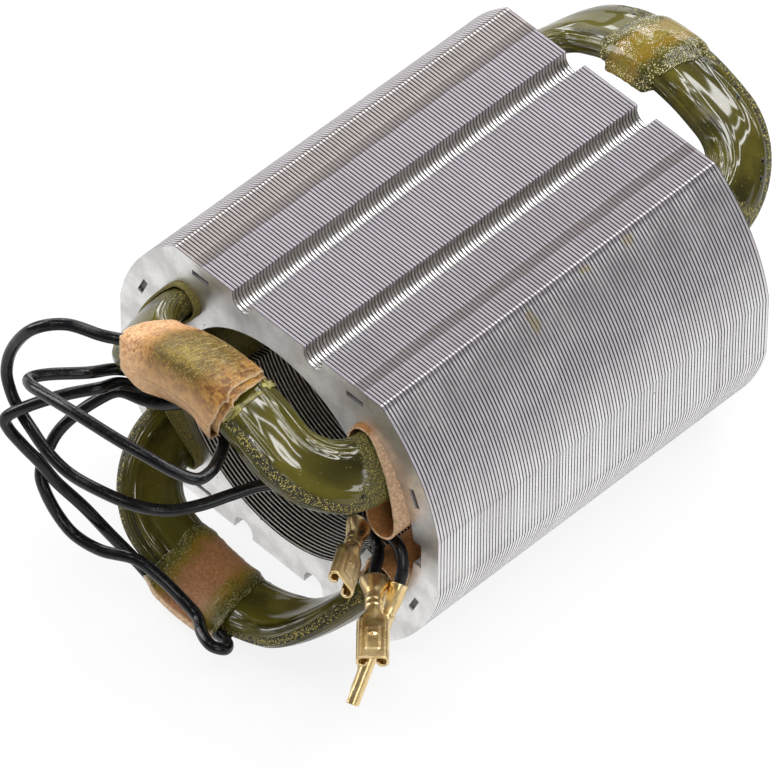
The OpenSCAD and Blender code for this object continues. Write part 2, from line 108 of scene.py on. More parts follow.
# %% Routes of the leads
LEAD_D = 0.0015
SPLINE_STEPS = 8
BEVEL_STEPS = 5
TO_MM = 1000
ROUTES_MM = {
    "upper_start": [
        (-8.6, -39.4, 19.6), (-10.4, -39.4, 18.73), (-12.1, -39.38, 17.85), (-13.4, -39.3, 17.08),
        (-15.9, -40.7, 17), (-19.5, -43, 17.8), (-22.5, -45.5, 16.5), (-25, -46.5, 12), (-25.5, -47.2, 8),
        (-24.3, -47.6, 5.2), (-22.5, -47.9, 3.7), (-20, -48.3, 2.7), (-16.8, -49, 2.2), (-13, -49, 1.4),
        (-8.3, -48.5, 1.8), (-4, -47, 1.6), (-1, -44.5, 1.1), (1.3, -41.5, 1.5), (3.2, -38, 2.2),
        (5, -34.5, 2.6), (8, -31.5, 2.4), (12, -29.6, 1.5), (15.4, -28.6, 0.3), (17.6, -28.6, -0.9),
        (19.4, -29.8, -1.3), (20.8, -31.6, -1.4), (22.2, -33.2, -1.1), (23.9, -34.9, -0.6),
    ],
    "upper_end": [
        (0, -39.5, 15.9), (3.3, -39.5, 15.5), (4.7, -40.6, 14.9), (5.9, -42.6, 14.6), (6.8, -44.8, 14.8),
        (6.6, -46.8, 15), (4.5, -48.3, 15.8), (1.5, -49.4, 16.6), (-3, -50.4, 17), (-9.3, -51, 16.8),
        (-14.5, -51, 15.8), (-17.6, -50.5, 14.6), (-19.3, -49, 13.2), (-18.2, -47, 13.2),
        (-15.4, -43.5, 13), (-15.3, -39.6, 10.6), (-15.3, -36.6, 8), (-12.8, -33.5, 7.6), (-8, -31, 8.6),
        (-2, -30, 9.5), (4, -29.8, 9), (8.5, -29.4, 6.8), (11.5, -29.2, 5.6), (14.1, -29.4, 4.1),
        (15.9, -29.9, 3.1), (17.6, -31.3, 3.2), (18.9, -33, 4.1),
    ],
    "lower_start": [
        (-5, -42.4, -18), (-8.4, -42.4, -16.6), (-11.7, -44, -12.6), (-14.4, -45.5, -8.8),
        (-17.4, -47, -5.6), (-19.1, -48, -2.7), (-20.8, -49, -0.3), (-22.5, -49.9, 2.3),
        (-22.7, -49.9, 4.2), (-20.5, -48, 6.6), (-17.5, -45, 8.6), (-15, -42, 9.4), (-14.7, -39.2, 8.3),
        (-13.6, -36.6, 6.3), (-11, -33.4, 5.4), (-6, -31, 6), (0, -30.2, 6.6), (6, -29.6, 5),
        (11, -28.9, 3.6), (15, -28.6, 2.2), (18.6, -28.4, 1), (21.4, -28.6, 0.9), (23.4, -29.7, -0.1),
        (24.4, -31.2, -1.4), (25, -33, -2.9),
    ],
    "lower_end": [
        (2.1, -42.4, -18.5), (5, -42.4, -17.9), (7.4, -43, -17.2), (8.4, -44.3, -16.4),
        (7.2, -45.4, -15.8), (5, -44.8, -15.9), (2.7, -43.4, -16), (0, -43.4, -15), (-3, -44.2, -12.8),
        (-6, -45.2, -11.4), (-10, -46.8, -12), (-13.8, -47.5, -11.9), (-16.4, -47.8, -10.2),
        (-18.4, -48, -7.3), (-19.7, -47.5, -5.2), (-20.1, -45.8, -2.8), (-20, -44.3, -0.8),
        (-19.2, -42.5, 1.2), (-18, -40.2, 3), (-16.2, -38, 4.6), (-13.6, -36.6, 4.2), (-11, -35.8, 4.8),
        (-8, -34.9, 6.8), (-5.5, -34.4, 8.2), (-3.4, -34.2, 8.6), (-1, -34.2, 8.6),
    ],
}


def through(points):
    """A smooth line through points, in short steps."""
    p = np.array([points[0], *points, points[-1]])
    line = []
    for a, b, c, d in zip(p, p[1:], p[2:], p[3:]):
        for u in np.arange(SPLINE_STEPS) / SPLINE_STEPS:
            bend = (c - a) * u + (2 * a - 5 * b + 4 * c - d) * u**2 + (3 * b - a - 3 * c + d) * u**3
            line.append(b + bend / 2)
    return np.array([*line, p[-1]])


def length_of(line):
    return float(np.linalg.norm(np.diff(line, axis=0), axis=1).sum())


routes = {name: np.round(np.divide(points, TO_MM), 6) for name, points in ROUTES_MM.items()}
lead_lines = {name: through(points) for name, points in routes.items()}
leads = {}
for name, line in lead_lines.items():
    data = bpy.data.curves.new(name + "_insulation", "CURVE")
    data.dimensions = "3D"
    data.bevel_depth = LEAD_D / 2
    data.bevel_resolution = BEVEL_STEPS
    data.use_fill_caps = True
    spline = data.splines.new("POLY")
    spline.points.add(len(line) - 1)
    spline.points.foreach_set("co", np.column_stack((line, np.ones(len(line)))).ravel())
    spline.use_smooth = True
    leads[name] = add_object(data)
    print(name, "lead", round(TO_MM * length_of(line), 1), "mm")

# %% [markdown]
# ## Shaders as expressions
# Every surface here is a small formula: noise that is stretched, thresholds, and mixed colours. Wired
# by hand, such node trees are hard to read, so a node's output is wrapped in a class whose operators
# add Math nodes, and any other node comes from one method.

# %% Shader helpers
class Out:
    """One output of a shader node. Arithmetic on it adds Math nodes."""

    def __init__(self, finish, socket):
        self.finish = finish
        self.socket = socket

    def math(self, operation, *others):
        return self.finish.math(operation, self, *others)

    def __add__(self, other):
        return self.math("ADD", other)

    def __sub__(self, other):
        return self.math("SUBTRACT", other)

    def __rsub__(self, other):
        return self.finish.math("SUBTRACT", other, self)

    def __mul__(self, other):
        return self.math("MULTIPLY", other)

    def __truediv__(self, other):
        return self.math("DIVIDE", other)

    def __pow__(self, other):
        return self.math("POWER", other)

    def __abs__(self):
        return self.math("ABSOLUTE")

    __radd__ = __add__
    __rmul__ = __mul__

    def between(self, low, high):
        """Runs softly from 0 at low to 1 at high."""
        settings = {"interpolation_type": "SMOOTHSTEP"}
        return self.finish.node("ShaderNodeMapRange", settings, {"Value": self, 1: low, 2: high})


class Finish:
    """A material under construction."""

    def __init__(self, name):
        self.material = bpy.data.materials.new(name)
        self.material.use_nodes = True
        self.tree = self.material.node_tree
        self.shader = self.tree.nodes["Principled BSDF"]
        place = self.node("ShaderNodeTexCoord", out="Object")
        in_mm = {0: place, "Scale": TO_MM}
        self.place = self.node("ShaderNodeVectorMath", {"operation": "SCALE"}, in_mm)

    def plug(self, socket, value):
        if isinstance(value, Out):
            self.tree.links.new(value.socket, socket)
        else:
            socket.default_value = value

    def node(self, kind, settings=None, inputs=(), out=0):
        node = self.tree.nodes.new(kind)
        for key, value in (settings or {}).items():
            setattr(node, key, value)
        for key, value in inputs.items() if isinstance(inputs, dict) else enumerate(inputs):
            self.plug(node.inputs[key], value)
        return Out(self, node.outputs[out])

    def math(self, operation, *values):
        return self.node("ShaderNodeMath", {"operation": operation}, values)

    def noise(self, scale, detail=3.0, at=None, roughness=0.5):
        inputs = {"Vector": at or self.place, "Scale": scale, "Detail": detail, "Roughness": roughness}
        return self.node("ShaderNodeTexNoise", {}, inputs)

    def cells(self, scale, at=None):
        """Distance from the nearest of some scattered points."""
        return self.node("ShaderNodeTexVoronoi", {}, {"Vector": at or self.place, "Scale": scale})

    def mix(self, factor, a, b):
        return self.node("ShaderNodeMix", {"data_type": "RGBA"}, {0: factor, 6: a, 7: b}, 2)

    def axes(self, vector=None):
        vector = vector or self.place
        return [self.node("ShaderNodeSeparateXYZ", {}, [vector], axis) for axis in "XYZ"]

    def vector(self, x, y, z):
        return self.node("ShaderNodeCombineXYZ", {}, [x, y, z])

    def mark(self, name):
        """A number that the mesh carries at its points."""
        return self.node("ShaderNodeAttribute", {"attribute_name": name}, out="Fac")

    def bump(self, height, depth_mm):
        return self.node("ShaderNodeBump", {}, {"Height": height, "Distance": depth_mm / TO_MM})

    def set(self, **values):
        for key, value in values.items():
            self.plug(self.shader.inputs[key.replace("_", " ")], value)
        return self.material


def rgb(r, g, b):
    return (r, g, b, 1.0)


def wear(obj, material):
    obj.data.materials.clear()
    obj.data.materials.append(material)

# %% [markdown]
# ## The lamination stack
# The stack is some 110 sheets of half a millimetre. Punching rounds one edge of every sheet, so the
# outside shows a bright ridge and a dark line for each. The solid carries the lines, and the shader
# rounds the sheets between them. One even metal would leave the rest to the lamps, but this steel is
# oily, worn and lit from many sides, so each face gets its tone by its place on the stack, and some
# of those tones are painted light and shade. First it is worked out where a point lies. Each number
# there runs from 0 to 1, or is a length.

# %% Places on the stack
# Lengths are in millimetres. A pair says where a tone begins and where it is full.
SHEET = 0.5
HALF_COUNT = 55.0
BORE_EDGE = 17.9
FLAT_Z = (20.6, 20.9)
BAND_X = 13.5
END_FACING = (0.6, 0.9)


def stack_places(steel):
    """Where a point lies on the stack, and the noise of its surface."""
    at = SimpleNamespace()
    at.x, at.y, at.z = steel.axes()
    at.out, at.tall = abs(at.x), abs(at.z)
    at.radius = (at.x * at.x + at.z * at.z) ** 0.5
    normal = steel.node("ShaderNodeNewGeometry", out="True Normal")
    at.end = abs(steel.axes(normal)[1]).between(*END_FACING)
    at.edge = 1 - at.end
    at.flat = at.tall.between(*FLAT_Z) * at.edge
    at.bore = (1 - at.radius.between(BORE_EDGE - 0.1, BORE_EDGE)) * at.edge
    phase = (at.y / SHEET + HALF_COUNT).math("FRACT")
    at.ridge = 1 - (phase * 2 - 1.0) ** 4.0
    at.smudge = steel.noise(0.22, 4)
    at.grain = steel.noise(9.0, 2)
    off_band = at.out - BAND_X + (at.smudge - 0.5) * 0.5
    at.band = at.flat * (1 - off_band * off_band).between(0.0, 0.5)
    return at


print("sheets of", SHEET, "mm")

# %% [markdown]
# ## Steel of the stack
# The tones are laid over each other like coats of paint, from the bare sheets, with painted light and
# shade, to dirt and drops of varnish. The bore comes last: varnish and painted shade make it black, and
# its crests carry a painted highlight.

# %% Steel of the stack
FLOOR_REFLECTION_Z = (2.0, 16.0)
RIGHT_STRIP_X = (7.8, 9.0)
BROWN_X = (12.5, 14.5)
GROOVE_X = 6.0
GROOVE_Z, BESIDE_GROOVE_X = (18.0, 18.4), (7.4, 7.8)
LEFT_WALL_X = (-1.5, -0.3)
FLAT_EDGE_R, PAST_EDGE_R = (27.2, 27.25), (27.33, 27.4)
SIDE_X, CREST_Z, JOINT_SHADE_Z = (10.0, 12.0), (6.0, 18.0), (-6.0, 14.0)
END_Y = (27.3, 27.45)
DROP_W = 0.9
DROPS = [(12.0, 20.4, 0.8), (5.0, 20.7, 0.6), (-4.5, 19.5, 1.3)]  # along the stack, height, half length


def bare_sheets(steel, at):
    """Grey sides made pale below as a painted reflection of the floor, pale ends, flats darkened as
    painted shade, and each sheet a little different.
    """
    tone = steel.mix(at.smudge.between(0.35, 0.7), rgb(0.38, 0.35, 0.375), rgb(0.56, 0.525, 0.55))
    # Painted reflection: the sides grow paler towards the bottom, where they mirror the white floor.
    tone = steel.mix((1 - at.z.between(*FLOOR_REFLECTION_Z)) * at.edge, tone, rgb(0.97, 0.96, 0.95))
    end = steel.mix(at.smudge.between(0.35, 0.65), rgb(0.60, 0.59, 0.58), rgb(0.84, 0.83, 0.82))
    end = steel.mix(at.grain.between(0.56, 0.70) * 0.5, end, rgb(0.38, 0.37, 0.36))
    tone = steel.mix(at.end, tone, end)
    # Painted shade: the flats are darker than the sides.
    tone = steel.mix(at.flat * 0.9, tone, rgb(0.37, 0.343, 0.367))
    tone = steel.mix(at.flat * at.x.between(*RIGHT_STRIP_X) * 0.5, tone, rgb(0.27, 0.245, 0.265))
    rolled = steel.noise(1.0, 3, steel.vector(at.x * 0.35, at.y * 0.012, at.z * 0.35))
    tone = steel.mix((at.edge - at.flat) * rolled.between(0.52, 0.68) * 0.2, tone, rgb(0.25, 0.22, 0.23))
    number = (at.y / SHEET + 0.001).math("FLOOR")
    own = steel.noise(1.0, 2, steel.vector(0.0, number * 3.7, 0.0))
    return steel.mix(at.edge * own.between(0.3, 0.75) * 0.45, tone, rgb(0.46, 0.42, 0.47))


def worn_flats(steel, at, tone):
    """The flats are worn along a line near each long edge, and the left one is browned beyond it."""
    tone = steel.mix(at.band * (at.grain * 0.4 + 0.5), tone, rgb(0.20, 0.175, 0.17))
    return steel.mix(at.flat * (0 - at.x).between(*BROWN_X) * 0.5, tone, rgb(0.40, 0.35, 0.30))


def screw_grooves(steel, at, tone):
    """The screw grooves get a painted highlight across them and painted shade on their left wall."""
    across = at.x - at.x.math("SIGN") * GROOVE_X
    groove = at.tall.between(*GROOVE_Z) * (1 - at.flat) * (1 - at.out.between(*BESIDE_GROOVE_X)) * at.edge
    # Painted highlight over the groove.
    tone = steel.mix(groove, tone, rgb(0.74, 0.725, 0.72))
    # Painted shade on the left wall, under the edge of the flat.
    return steel.mix(groove * (1 - across.between(*LEFT_WALL_X)) * 0.8, tone, rgb(0.20, 0.17, 0.14))


def sheet_edges(steel, at, tone):
    """Painted highlights as dots along the edges of the flats and on the crests of the upper round sides,
    and dark joints, drawn wider higher up as painted shade.
    """
    # Painted highlight: dots along the edges of the flats.
    corner = at.radius.between(*FLAT_EDGE_R) * (1 - at.radius.between(*PAST_EDGE_R)) * at.flat
    tone = steel.mix(corner * at.ridge.between(0.6, 0.95), tone, rgb(0.84, 0.79, 0.78))
    # Painted highlight on the crests of the sheets on the upper round sides.
    crest_highlight = (at.edge - at.flat) * at.ridge.between(0.85, 1.0) * at.z.between(*CREST_Z)
    tone = steel.mix(crest_highlight * at.out.between(*SIDE_X) * 0.5, tone, rgb(0.92, 0.87, 0.90))
    # The joints between the sheets are dark; higher up the sides they grow wider as painted shade.
    joint_and_shade = at.edge * (1 - at.ridge.between(0.2, 0.85)) * 0.4
    joint_and_shade = joint_and_shade + at.edge * (1 - at.ridge.between(0.5, 0.98)) * at.z.between(*JOINT_SHADE_Z) * 0.85
    return steel.mix(joint_and_shade, tone, rgb(0.05, 0.042, 0.045))


def dirt_and_drops(steel, at, tone):
    """Specks of dirt, and drops of varnish that dried on the right side, close to the flat."""
    speck = 1 - steel.cells(0.5).between(0.05, 0.09)
    tone = steel.mix(speck * at.smudge.between(0.5, 0.6) * 0.8, tone, rgb(0.10, 0.085, 0.04))
    drip = steel.noise(1.0, 3, steel.vector(at.x * 0.5, at.y * 2.2, at.z * 0.5))
    for drop_y, drop_z, long in DROPS:
        wide, down = (at.y - drop_y) / DROP_W, (at.z - drop_z) / long
        drop = (1 - wide * wide - down * down + (drip - 0.5) * 2.5).between(0.0, 0.5)
        drop = drop * at.x.between(*SIDE_X) * (1 - at.flat)
        tone = steel.mix(drop * 0.5, tone, rgb(0.42, 0.33, 0.10))
    return tone


def make_steel():
    steel = Finish("punched_steel")
    at = stack_places(steel)
    tone = bare_sheets(steel, at)
    for lay_on in (worn_flats, screw_grooves, sheet_edges, dirt_and_drops):
        tone = lay_on(steel, at, tone)
    pressed_in = at.end * (1 - abs(at.y).between(*END_Y))
    tone = steel.mix(pressed_in, tone, rgb(0.10, 0.095, 0.09))
    # The bore is black from varnish and painted shade, with a painted highlight on its crests.
    crest_glint = at.ridge.between(0.965, 1.0)
    black = steel.mix(crest_glint, rgb(0.002, 0.002, 0.002), rgb(0.97, 0.94, 0.88))
    tone = steel.mix(at.bore, tone, black)
    height = at.ridge * at.edge * (1 - at.band * 0.6) + at.grain * 0.08
    return steel.set(
        Base_Color=tone,
        Metallic=0.9 - at.bore * crest_glint * 0.6,
        Roughness=0.30 + at.smudge * 0.12 + at.flat * 0.08 + at.band * 0.2 - at.bore * 0.1,
        Normal=steel.bump(height, 0.12),
    )


wear(nodes["lamination_stack"], make_steel())
print("steel on the stack")

# %% [markdown]
# ## Laying out a coil
# A coil is wound flat and then pressed into two slots that lie on one circle round the bore. So its
# shape is drawn on that circle unrolled: a rounded rectangle, followed by a centre line with a length
# along the circle and a length along the bore. Rolling the drawing up again gives the saddle shape of
# the end turns. The same functions place everything that is wrapped round a bundle.

# %% Coil layout
SLOT_R = 0.0205
SLOT_END = math.radians(41.5)
COIL_W = 0.009
SLOT_HALF = 0.0020
END_HALF = 0.0019
END_DROP = 0.00185
END_FILL = 0.78
COIL_TOP = SLOT_END + END_FILL * SLOT_HALF / SLOT_R
COIL_SIDE = (math.pi / 2 - COIL_TOP) * SLOT_R + COIL_W / 2
COIL_END = 0.037
CORNER_R = 0.0087
END_RUN = COIL_SIDE - CORNER_R
END_LEN = END_RUN + CORNER_R * math.pi / 2
SINK_RATE = 1.6
SQUARENESS = 2.5


def ease(x):
    c = np.clip(x, 0, 1)
    return c * c * (3 - 2 * c)


class Turn:
    """Centre line of a front end turn at lengths t from its top: place, outward direction, freedom."""

    def __init__(self, t, lean):
        t = np.asarray(t, float)
        side = np.where(t < 0, -1.0, 1.0)
        past = np.abs(t) - END_RUN
        turn = np.maximum(past, 0) / CORNER_R
        self.free = ease(SINK_RATE * (1 - np.abs(t) / END_LEN))
        self.s = np.where(past < 0, t, side * (END_RUN + CORNER_R * np.sin(turn))) + lean * self.free
        self.y = -COIL_END + CORNER_R * (1 - np.cos(turn))
        self.ds = side * np.sin(turn)
        self.dy = -np.cos(turn)

    def half(self):
        return SLOT_HALF + (END_HALF - SLOT_HALF) * self.free

    def point(self, a, b):
        """The point a outwards along the bundle's width and b off the bore."""
        angle = (self.s + a * self.ds) / SLOT_R
        r = SLOT_R - END_DROP * self.free + b
        return np.stack((r * np.sin(angle), self.y + a * self.dy, r * np.cos(angle)), -1)


def section(half, sides, seats=(), seat_r=0.0, off=0.0, soften=0):
    """Outline of a bundle of some half thickness and what is seated on it, off by a gap and softened."""
    dual = SQUARENESS / (SQUARENESS - 1)
    step = 2 * math.pi / sides
    d = np.arange(sides + 1) * step
    half = np.asarray(half, float)[..., None]
    reach = (np.abs(COIL_W / 2 * np.cos(d)) ** dual + np.abs(half * np.sin(d)) ** dual) ** (1 / dual)
    for seat in seats:
        reach = np.maximum(reach, seat[0] * np.cos(d) + seat[1] * np.sin(d) + seat_r)
    if soften:
        turns = range(-soften, soften + 1)
        reach = sum(np.roll(reach[..., :-1], k, -1) for k in turns) / len(turns)
        reach = np.concatenate((reach, reach[..., :1]), -1)
    reach = reach + off
    p, q = reach[..., :-1], reach[..., 1:]
    a = (p * np.sin(d[1:]) - q * np.sin(d[:-1])) / math.sin(step)
    b = (q * np.cos(d[:-1]) - p * np.cos(d[1:])) / math.sin(step)
    return a, b


def add_mesh(name, rows, loop=False, tube=True):
    """A smooth skin through rows of points. Each row closes if it is a tube, and the last row joins the
    first if it is a loop."""
    n, m = rows.shape[:2]
    i, j = np.meshgrid(np.arange(n if loop else n - 1), np.arange(m if tube else m - 1), indexing="ij")
    k, l = (i + 1) % n, (j + 1) % m
    faces = np.stack((i * m + j, k * m + j, k * m + l, i * m + l), -1).reshape(-1, 4)
    mesh = bpy.data.meshes.new(name)
    mesh.from_pydata(rows.reshape(-1, 3).tolist(), [], faces.tolist())
    mesh.shade_smooth()
    return add_object(mesh)


def thicken(obj, thickness, offset):
    """Makes a sheet solid, to its inner side at offset -1 and to both sides at 0."""
    solid = obj.modifiers.new("sheet", "SOLIDIFY")
    solid.thickness = thickness
    solid.offset = offset


def mark(obj, **values):
    """Stores a number per point under each name, for the shader."""
    for name, value in values.items():
        layer = obj.data.attributes.new(name, "FLOAT", "POINT")
        layer.data.foreach_set("value", np.ravel(value).astype(np.float32))


def waves(points, scale, seed=0.0):
    """Smooth noise from -1 to 1 at rows of points."""
    flat = points.reshape(-1, 3) * scale
    found = [noise.noise(Vector(p) + Vector((seed, 1.7 * seed, -seed))) for p in flat]
    return np.array(found).reshape(points.shape[:-1])


print("end turn", round(TO_MM * 2 * END_LEN, 1), "mm")

# %% [markdown]
# ## The coils
# A wound bundle is not a smooth bar: its outer wires stand in ridges under the varnish. Wire by wire it
# would need many turns that nobody sees. So the skin follows the layout above and sinks in by up to two
# tenths of a millimetre along the wires. The points carry their length along the wires, their place
# round the bundle, and where the varnish is sandy or full of holes, for the shader to follow.

# %% Coil skins
COIL_SIDES = 120
END_STEPS = 190
SIDE_STEPS = 12
WIRE_DEPTH = 0.00022
SAND_REACH = 0.044  # as a share of the way round, like the next two
HOLES_OFF, HOLES_REACH = 0.055, 0.022
LEFT_FADE = 0.008
ROOT_FREE = 0.2
LEANS = {"upper_front": 0.0, "upper_rear": -0.001, "lower_front": 0.0009, "lower_rear": 0.0}


def beside(around, middle, reach):
    """A soft stripe along the bundle at a place round it."""
    return np.exp(-((((around - middle + 0.5) % 1) - 0.5) / reach) ** 2)


def coil_rows(front_lean, rear_lean):
    """Rows of points round the loop of an upper coil, and how free of its slot each row is."""
    t = np.linspace(-END_LEN, END_LEN, END_STEPS)
    ends, free = [], []
    for lengths, lean, to_rear in ((t, front_lean, 1), (t[::-1], rear_lean, -1)):
        turn = Turn(lengths, lean)
        a, b = section(turn.half(), COIL_SIDES)
        ends.append(Turn(lengths[:, None], lean).point(a, b) * (1, to_rear, 1))
        free.append(turn.free)
    share = np.linspace(0, 1, SIDE_STEPS)[1:-1, None, None]
    right_side = ends[0][-1] * (1 - share) + ends[1][0] * share
    left_side = ends[1][-1] * (1 - share) + ends[0][0] * share
    in_slot = np.zeros(len(share))
    rows = np.concatenate((ends[0], right_side, ends[1], left_side))
    return rows, np.concatenate((free[0], in_slot, free[1], in_slot))


def coil_skin(name, front_lean, rear_lean, flip, sandy, rim, left_share, seed):
    """A coil, turned upside down by flip. Sand lies in two lines, rim of the way round on each side of the
    outer edge, with left_share of it on the left, and at the roots as far as sandy says."""
    skin, free = coil_rows(front_lean, rear_lean)
    middle = skin.mean(axis=1)
    along = np.concatenate(([0], np.cumsum(np.linalg.norm(np.diff(middle, axis=0), axis=1))))
    around = np.arange(COIL_SIDES) / COIL_SIDES
    along, around, free = np.broadcast_arrays(along[:, None], around[None], free[:, None])
    turn = around * 2 * math.pi
    drawn = np.stack((along * 60, np.cos(turn) * 6, np.sin(turn) * 6), -1)
    wires = waves(drawn, 1.0, seed) * 0.6 + waves(drawn * (1.4, 1.9, 1.9), 1.0, seed + 9) * 0.5
    lumps = waves(skin, 350, seed)
    sink = np.clip(0.5 + 0.7 * wires + 0.1 * lumps, 0, 1) * WIRE_DEPTH * np.clip(free * 3, 0.1, 1)
    inward = middle[:, None] - skin
    skin = skin + inward / np.linalg.norm(inward, axis=2)[..., None] * sink[..., None]
    edge = beside(around, rim, SAND_REACH) + beside(around, 1 - rim, SAND_REACH)
    edge = edge * (left_share + (1 - left_share) * ease(skin[..., 0] / LEFT_FADE + 0.5))
    holes_at = rim + HOLES_OFF
    near = beside(around, holes_at, HOLES_REACH) + beside(around, 1 - holes_at, HOLES_REACH)
    root = np.clip(1 - free / ROOT_FREE, 0, 1) * sandy
    order = slice(None) if flip else slice(None, None, -1)
    obj = add_mesh(name, skin[:, order] * (1, 1, -1 if flip else 1), loop=True)
    marks = {"along": along * TO_MM, "around": around, "edge": edge, "near": near, "root": root}
    mark(obj, **{key: value[:, order] for key, value in marks.items()})
    return obj


coils = {
    "upper": coil_skin(
        "upper_coil_wires", LEANS["upper_front"], LEANS["upper_rear"],
        flip=False, sandy=1.0, rim=0.15, left_share=1.0, seed=3.0),
    "lower": coil_skin(
        "lower_coil_wires", LEANS["lower_front"], LEANS["lower_rear"],
        flip=True, sandy=0.2, rim=0.0, left_share=0.55, seed=21.0),
}
for name, obj in coils.items():
    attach(obj, "root")
    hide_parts(name + "_coil")
    print(obj.name, len(obj.data.polygons), "faces")

# %% [markdown]
# ## Varnish of the coils
# The varnish is a glossy olive resin, black where it lies deep. It ran along the wires in streaks,
# caught golden grains along the edges and roots of the bundle, and left pinholes beside them. A picture
# would blur close up, so noise is stretched along the wires, and the points say where each kind lies.

# %% Varnish of the coils
PERIMETER = 22.0  # mm round a bundle


def make_varnish():
    varnish = Finish("olive_varnish")
    along, around = varnish.mark("along"), varnish.mark("around") * PERIMETER
    edge, near, root = map(varnish.mark, ("edge", "near", "root"))
    streaks = varnish.noise(1.0, 1.5, varnish.vector(along * 0.07, around * 0.95, 0.0))
    wires = varnish.noise(1.0, 1.0, varnish.vector(along * 0.055, around * 1.6, 5.0))
    clouds = varnish.noise(0.25, 3)
    tone = varnish.mix(streaks.between(0.3, 0.7), rgb(0.025, 0.022, 0.003), rgb(0.092, 0.081, 0.011))
    tone = varnish.mix(clouds.between(0.45, 0.7) * 0.5, tone, rgb(0.125, 0.102, 0.014))
    grit = varnish.noise(3.0, 3, roughness=0.6)
    grain = 1 - varnish.cells(5.6).between(0.34, 0.56)
    crust = (edge * 1.45 + root * 0.95 + (clouds - 0.5) * 0.9 + (grit - 0.5) * 0.7).between(0.45, 0.65)
    sandy = crust * grain * (grit + root * 0.12 + edge * 0.05).between(0.48, 0.57)
    bed = varnish.mix(root, rgb(0.010, 0.010, 0.003), rgb(0.060, 0.055, 0.008))
    tone = varnish.mix(crust * 0.9, tone, bed)
    tone = varnish.mix(sandy * (1 - root * 0.55), tone, rgb(0.60, 0.50, 0.11))
    hole = varnish.cells(1.0, varnish.vector(along * 0.8, around * 1.8, 3.0))
    holes = (1 - hole.between(0.16, 0.26)) * (near + (clouds - 0.5) * 0.9).between(0.38, 0.55)
    tone = varnish.mix(holes, tone, rgb(0.003, 0.003, 0.001))
    dust = varnish.cells(1.6)
    tone = varnish.mix((1 - dust.between(0.06, 0.10)) * 0.6, tone, rgb(0.55, 0.50, 0.25))
    height = streaks * 0.6 + wires * 1.2 + sandy * 0.5 - holes * 0.8
    return varnish.set(
        Base_Color=tone,
        Roughness=0.07 + crust * 0.4,
        Normal=varnish.bump(height, 0.2),
    )


varnish = make_varnish()
for obj in coils.values():
    wear(obj, varnish)
print("varnish on", len(coils), "coils")

# %% [markdown]
# ## The paper wraps
# Where the leads join the coil, a strip of brown paper is wound round the bundle. A cloth simulation
# could lay it there, but the bundle is known as a formula, so the wrap is one too: the outline of the
# bundle and of the splices under it, pushed out by a gap, with creases. The upper front wrap stayed dry,
# with torn ends. The others drank so much varnish that their ends sink into the coil's surface.

# %% Wrap skins
WRAP_T = 0.0003
WRAP_GAP = 0.00008
WRAP_SLANT = 0.0016
WRAP_SIDES = 132
WRAP_SOFTEN = 4
TEAR, FINE_TEAR = 0.0005, 0.00022
CREASE, FINE_CREASE = 0.00006, 0.00003
LUMP = 0.0005
MELT, MELT_FROM = 0.00016, 0.6
CURL, CURL_FROM, CURL_OVER, CURL_AT, CURL_REACH = 0.0007, 0.004, 0.005, 0.93, 0.10
LIP, LIP_HALF, LIP_SOFT, LIP_AT, LIP_REACH = 0.0009, 0.0045, 0.001, 0.55, 0.045
SEAT_R = 0.0009
UPPER_SEATS = [(0.0024, 0.00275), (0.0025, -0.00275)]
LOWER_SEATS = [(0.00535, 0.0)]


def torn_end(turn, seed):
    """How far a torn end reaches at angles round the wrap."""
    ring = np.stack((np.cos(turn), np.sin(turn), 0 * turn), -1)
    return waves(ring, 2.5, seed) * TEAR + waves(ring, 14, seed) * FINE_TEAR


def wrap_skin(name, lean, seats, middle, length, flip, steps, seed, lift=None, soaked=False,
              gap=WRAP_GAP, paper=WRAP_T):
    """A paper sleeve on a front end turn, with torn ends, or with ends that the varnish drew down into the
    bundle and lumps along its back. flip holds factors for its three axes."""
    share = np.linspace(-0.5, 0.5, steps)
    around = np.arange(WRAP_SIDES) / WRAP_SIDES
    turn = around * 2 * math.pi
    far_end, near_end = torn_end(turn, seed), torn_end(turn, seed + 5)
    rows, marks = [], []
    for parts, off in ((share, gap + paper), (share[::-1], gap)):
        t = middle + length * parts
        a, b = section(Turn(t, lean).half(), WRAP_SIDES, seats, SEAT_R, off, WRAP_SOFTEN)
        end = np.abs(parts[:, None]) * 2
        torn = np.where(parts[:, None] > 0, far_end, near_end) * end**6
        slid = t[:, None] + WRAP_SLANT * a / COIL_W + torn
        if lift:
            up = lift(slid - middle, around)
            a, b = a + up * np.cos(turn), b + up * np.sin(turn)
        sheet = np.stack((slid, a, b), -1) * TO_MM
        rise = waves(sheet * (0.5, 1.1, 1.1), 1.0, seed) * CREASE + waves(sheet, 2.2, seed) * FINE_CREASE
        if soaked:
            lumps = np.maximum(waves(sheet, 1.1, seed + 3), 0) * beside(around, 0.5, 0.07) * LUMP
            melted = (off + MELT) * ease((end - MELT_FROM) / (1 - MELT_FROM))
            rise = rise * (1 - end**4) + lumps - melted
        grown = 1 + rise / np.hypot(a, b)
        rows.append(Turn(slid, lean).point(a * grown, b * grown))
        marks.append(np.broadcast_arrays(slid * TO_MM, around, end))
    order = slice(None) if math.prod(flip) < 0 else slice(None, None, -1)
    along, around, end = (np.concatenate(values)[:, order] for values in zip(*marks))
    obj = add_mesh(name, np.concatenate(rows)[:, order] * flip, loop=True)
    mark(obj, along=along, around=around, end=end)
    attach(obj, "root")
    return obj


def corner_lift(t, around):
    """The lower right corner of the upper wrap curls off the coil."""
    return CURL * ease((t - CURL_FROM) / CURL_OVER) * beside(around, CURL_AT, CURL_REACH)


def inner_lip(t, around):
    """The rear wrap sticks out in a lip on its inner side."""
    return LIP * beside(around, LIP_AT, LIP_REACH) * ease((LIP_HALF - np.abs(t)) / LIP_SOFT)


